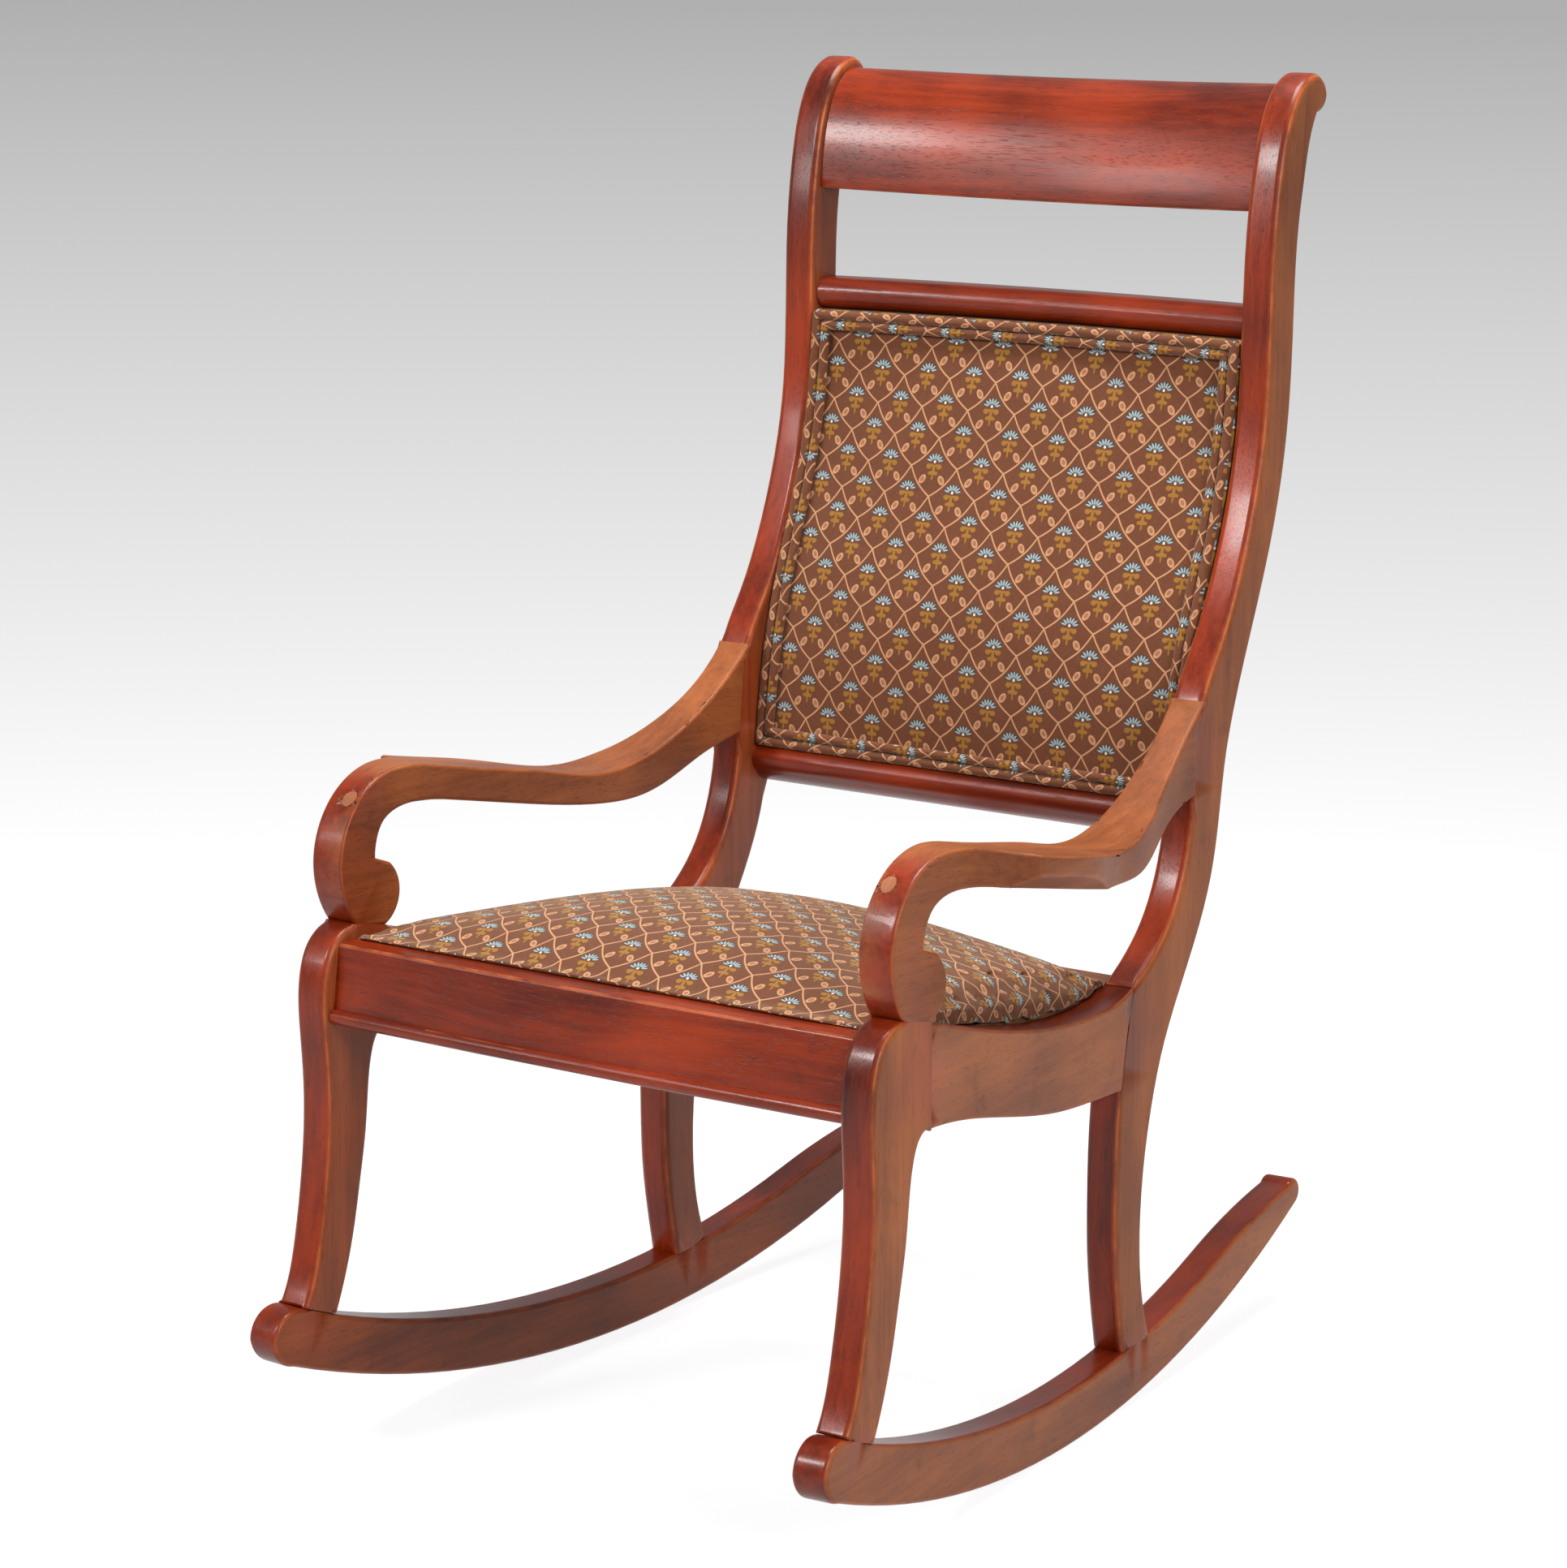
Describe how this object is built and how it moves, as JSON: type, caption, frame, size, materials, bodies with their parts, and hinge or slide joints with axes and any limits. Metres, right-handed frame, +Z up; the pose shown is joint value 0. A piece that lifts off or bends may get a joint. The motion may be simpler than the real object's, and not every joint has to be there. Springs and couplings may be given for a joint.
{
  "type": "rocking chair",
  "caption": "Upholstered rocking armchair with scrolled flat arms, curved side frames on runners, padded seat and back, and a lift-out seat.",
  "frame": {"origin": "on the floor plane, midway between the rockers and midway between the chair's frontmost and rearmost points; the rockers touch the floor 9 mm ahead of it", "axes": "+Z up, -Y to the front where the sitter faces, +X to the sitter's left, which is the right side of the picture"},
  "size_m": [0.6092, 0.8188, 1.0365],
  "materials": {
    "mahogany": "gloss",
    "frame_wood": "matte",
    "plug_wood": "satin",
    "steel": "satin",
    "webbing": "matte",
    "upholstery": "matte",
    "backing_cloth": "matte"
  },
  "bodies": {
    "chair": {"rocker_right": "mahogany", "rocker_left": "mahogany", "front_leg_right": "mahogany", "front_leg_left": "mahogany", "back_post_right": "mahogany", "back_post_left": "mahogany", "side_rail_right": "mahogany", "side_rail_left": "mahogany", "arm_right": "mahogany", "arm_left": "mahogany", "front_rail": "mahogany", "front_rail_bead": "mahogany", "crest_rail": "mahogany", "upper_back_rail": "mahogany", "lower_back_rail": "mahogany", "rear_seat_rail": "frame_wood", "corner_blocks": "frame_wood", "seat_cleats": "frame_wood", "foot_dowels": "frame_wood", "front_rail_dowels": "frame_wood", "side_rail_dowels": "frame_wood", "rear_rail_dowels": "frame_wood", "back_rail_dowels": "frame_wood", "crest_dowels": "frame_wood", "arm_dowels": "frame_wood", "back_panel_stiles": "frame_wood", "back_panel_rails": "frame_wood", "arm_plugs": "plug_wood", "arm_screws": "steel", "corner_block_screws": "steel", "back_panel_screws": "steel", "back_cover_tacks": "steel", "back_webbing": "webbing", "back_pad": "upholstery", "back_welt": "upholstery", "back_outside_cover": "upholstery"},
    "slip_seat": {"seat_frame_front": "frame_wood", "seat_frame_rear": "frame_wood", "seat_frame_side_right": "frame_wood", "seat_frame_side_left": "frame_wood", "seat_webbing": "webbing", "seat_cross_webbing": "webbing", "seat_pad": "upholstery", "dust_cover": "backing_cloth", "dust_cover_tacks": "steel"}
  },
  "joints": [
    {"name": "seat_lift_out", "type": "slide", "parent": "chair", "child": "slip_seat", "axis": [0, 0, 1], "range_m": [0, 0.12]}
  ]
}
